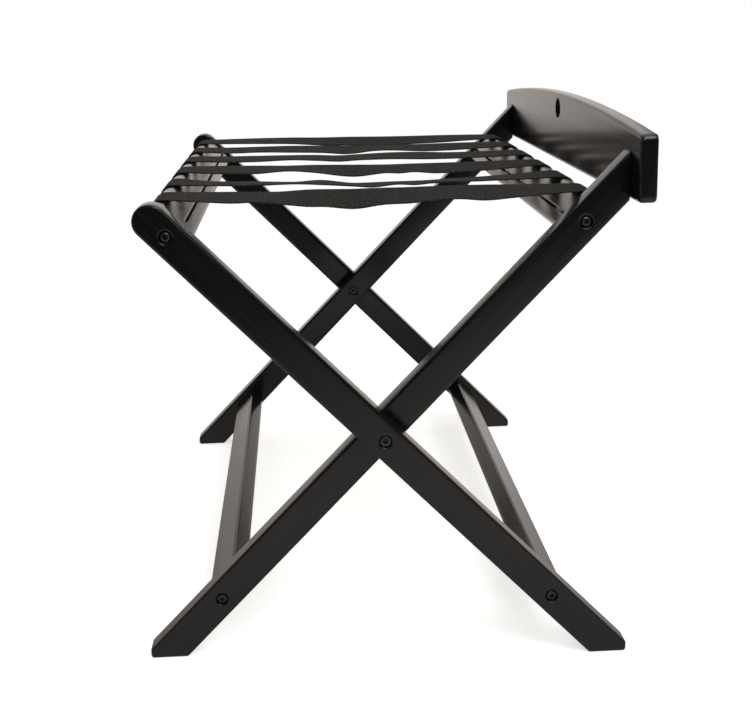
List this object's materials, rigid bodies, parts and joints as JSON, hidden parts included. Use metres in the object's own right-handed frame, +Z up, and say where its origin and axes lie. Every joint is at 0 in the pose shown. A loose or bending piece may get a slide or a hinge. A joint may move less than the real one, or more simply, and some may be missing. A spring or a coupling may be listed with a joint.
{
  "type": "folding luggage bench",
  "caption": "Folding wooden luggage bench with two crossed leg frames on a pivot, a seat of webbing straps and an arched back board with a hanging hole.",
  "frame": {"origin": "on the floor under the middle of the bounding box", "axes": "+X from the open front to the back board, +Y along the rails to the left side, +Z up"},
  "size_m": [0.4632, 0.62, 0.504],
  "materials": {
    "lacquer": "satin black lacquer",
    "webbing": "woven, matt",
    "black_steel": "black oxide",
    "zinc": "zinc plated",
    "beech": "bare",
    "nylon": "matt"
  },
  "bodies": {
    "outer_frame": {"outer_leg_left": "lacquer", "outer_leg_right": "lacquer", "outer_top_rail": "lacquer", "outer_bottom_rail": "lacquer", "outer_top_bolt_left": "black_steel", "outer_top_bolt_right": "black_steel", "outer_top_insert_left": "zinc", "outer_top_insert_right": "zinc", "outer_top_dowel_left": "beech", "outer_top_dowel_right": "beech", "outer_bottom_bolt_left": "black_steel", "outer_bottom_bolt_right": "black_steel", "outer_bottom_insert_left": "zinc", "outer_bottom_insert_right": "zinc", "outer_bottom_dowel_left": "beech", "outer_bottom_dowel_right": "beech", "pivot_bolt_left": "black_steel", "pivot_bolt_right": "black_steel", "pivot_sleeve_nut_left": "black_steel", "pivot_sleeve_nut_right": "black_steel", "pivot_washer_left": "nylon", "pivot_washer_right": "nylon", "strap_1": "webbing", "strap_2": "webbing", "strap_3": "webbing", "strap_4": "webbing", "strap_5": "webbing", "strap_6": "webbing"},
    "inner_frame": {"inner_leg_left": "lacquer", "inner_leg_right": "lacquer", "inner_top_rail": "lacquer", "inner_bottom_rail": "lacquer", "inner_top_bolt_left": "black_steel", "inner_top_bolt_right": "black_steel", "inner_top_insert_left": "zinc", "inner_top_insert_right": "zinc", "inner_top_dowel_left": "beech", "inner_top_dowel_right": "beech", "inner_bottom_bolt_left": "black_steel", "inner_bottom_bolt_right": "black_steel", "inner_bottom_insert_left": "zinc", "inner_bottom_insert_right": "zinc", "inner_bottom_dowel_left": "beech", "inner_bottom_dowel_right": "beech", "back_board": "lacquer", "board_screw_lower_left": "black_steel", "board_screw_lower_right": "black_steel", "board_screw_upper_left": "black_steel", "board_screw_upper_right": "black_steel"}
  },
  "joints": [
    {"name": "fold", "type": "hinge", "parent": "outer_frame", "child": "inner_frame", "pos_m": [-0.0074, 0, 0.218], "axis": [0, -1, 0], "range_deg": [0, 80], "deforming": ["strap_1", "strap_2", "strap_3", "strap_4", "strap_5", "strap_6"]}
  ]
}
